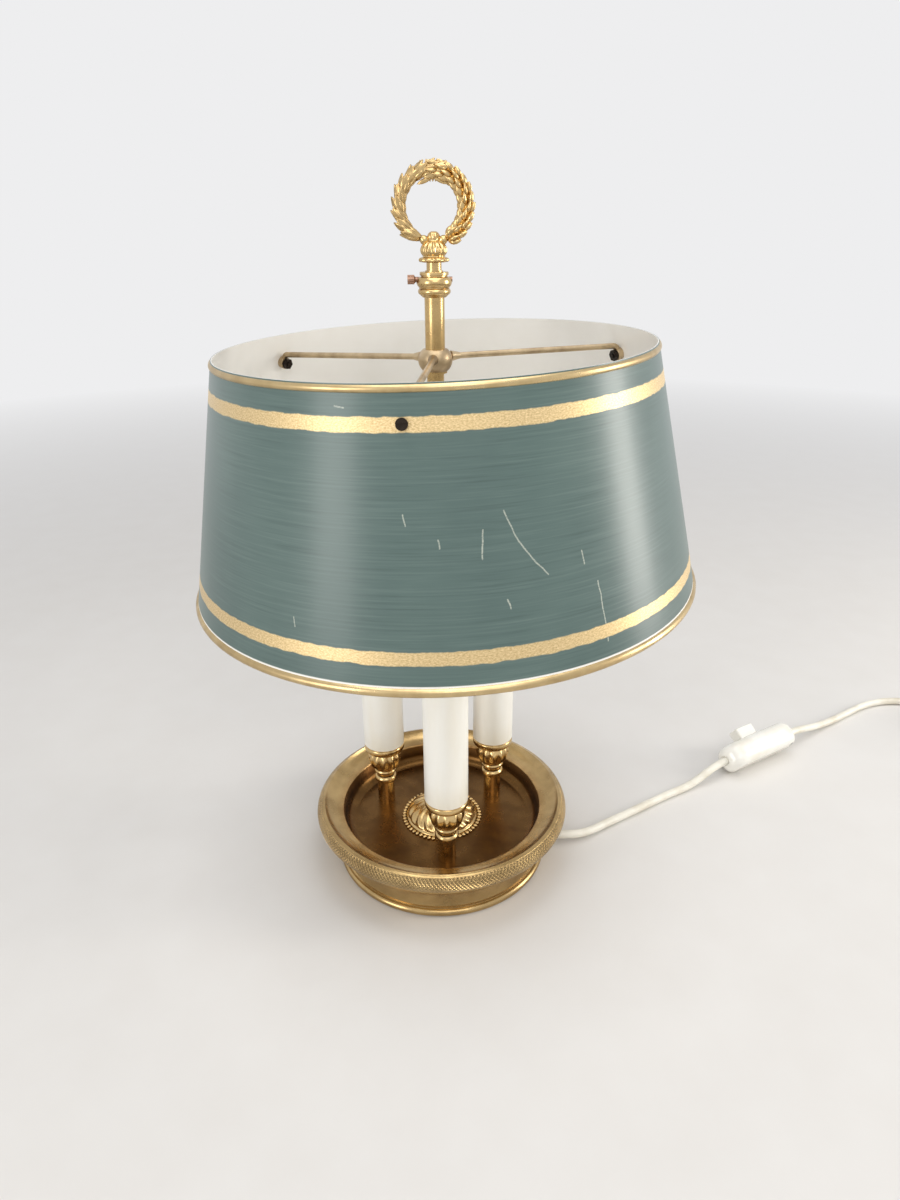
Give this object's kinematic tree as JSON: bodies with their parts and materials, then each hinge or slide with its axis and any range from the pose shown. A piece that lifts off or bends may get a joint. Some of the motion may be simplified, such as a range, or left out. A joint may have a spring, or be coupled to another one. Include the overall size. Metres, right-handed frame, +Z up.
{
  "type": "bouillotte lamp",
  "caption": "Table lamp with a dished brass base, candle tubes round a stem, a sliding cone shade, a wreath handle and a corded switch.",
  "frame": {"origin": "middle of the foot's resting face, on the stem's axis", "axes": "+Z up along the stem, -Y towards the front candle, +X towards the side where the cord leaves"},
  "size_m": [0.6345, 0.3083, 0.4115],
  "materials": {
    "dish_brass": "lacquered brass with brownish patina",
    "polished_brass": "polished",
    "dull_brass": "dull, aged",
    "trim_brass": "polished",
    "pink_copper": "dull pinkish brass",
    "cast_ballast": "rough cast",
    "green_felt": "felt",
    "plain_steel": "zinc plated",
    "dark_steel": "blackened",
    "cap_metal": "plain",
    "white_nylon": "moulded",
    "white_flex": "smooth flexible sheath",
    "white_gloss": "moulded, glossy",
    "candle_white": "smooth satin",
    "dark_holder": "moulded",
    "frosted_glass": "frosted inside",
    "green_paint": "satin paint with two gilt stripes, white inside",
    "plug_metal": "nickel plated"
  },
  "bodies": {
    "base": {"base_dish": "dish_brass", "ballast": "cast_ballast", "felt_pad": "green_felt", "stem_washer": "plain_steel", "stem_nut": "plain_steel", "stem_seat_nut": "plain_steel", "post_nuts": "plain_steel", "terminal_block": "white_nylon", "inner_lead": "white_flex", "cord_bushing": "white_nylon", "stem": "polished_brass", "handle_rod": "polished_brass", "wreath_handle": "polished_brass", "rosette": "polished_brass", "switch_lower_shell": "white_gloss", "switch_upper_shell": "white_gloss", "switch_mechanism": "plain_steel", "switch_screws": "plain_steel", "cord_to_switch": "white_flex", "cord_to_coil": "white_flex", "cord_coil": "white_flex", "cord_to_plug": "white_flex", "plug_body": "white_gloss", "plug_sleeve": "white_flex", "plug_pins": "plug_metal", "candle_post_front": "polished_brass", "leaf_cup_front": "polished_brass", "candle_tube_front": "candle_white", "lampholder_front": "dark_holder", "bulb_cap_front": "cap_metal", "bulb_glass_front": "frosted_glass", "candle_post_left": "polished_brass", "leaf_cup_left": "polished_brass", "candle_tube_left": "candle_white", "lampholder_left": "dark_holder", "bulb_cap_left": "cap_metal", "bulb_glass_left": "frosted_glass", "candle_post_right": "polished_brass", "leaf_cup_right": "polished_brass", "candle_tube_right": "candle_white", "lampholder_right": "dark_holder", "bulb_cap_right": "cap_metal", "bulb_glass_right": "frosted_glass"},
    "carrier": {"collar": "polished_brass", "collar_ring": "polished_brass", "sliding_sleeve": "polished_brass", "grub_screw": "pink_copper"},
    "shade": {"arm_ball": "dull_brass", "arm_front": "dull_brass", "arm_right": "dull_brass", "arm_left": "dull_brass", "shade_wall": "green_paint", "shade_top_bead": "trim_brass", "shade_bottom_bead": "trim_brass", "shade_screws": "dark_steel", "shade_nuts": "dark_steel"},
    "clamp_knob": {"clamp_screw": "pink_copper"},
    "button": {"switch_button": "white_gloss"}
  },
  "joints": [
    {"name": "shade_height", "type": "slide", "parent": "base", "child": "carrier", "axis": [0, 0, 1], "range_m": [-0.055, 0.003]},
    {"name": "shade_turn", "type": "hinge", "parent": "carrier", "child": "shade", "pos_m": [0, 0, 0.3185], "axis": [0, 0, 1], "continuous": true},
    {"name": "clamp_turn", "type": "hinge", "parent": "carrier", "child": "clamp_knob", "pos_m": [-0.0115, 0, 0.3578], "axis": [-1, 0, 0], "range_deg": [0, 720]},
    {"name": "button_press", "type": "slide", "parent": "base", "child": "button", "axis": [0.4071, -0.7108, -0.5736], "range_m": [0, 0.0025], "stiffness_N_per_m": 900, "springref_m": -0.001}
  ]
}
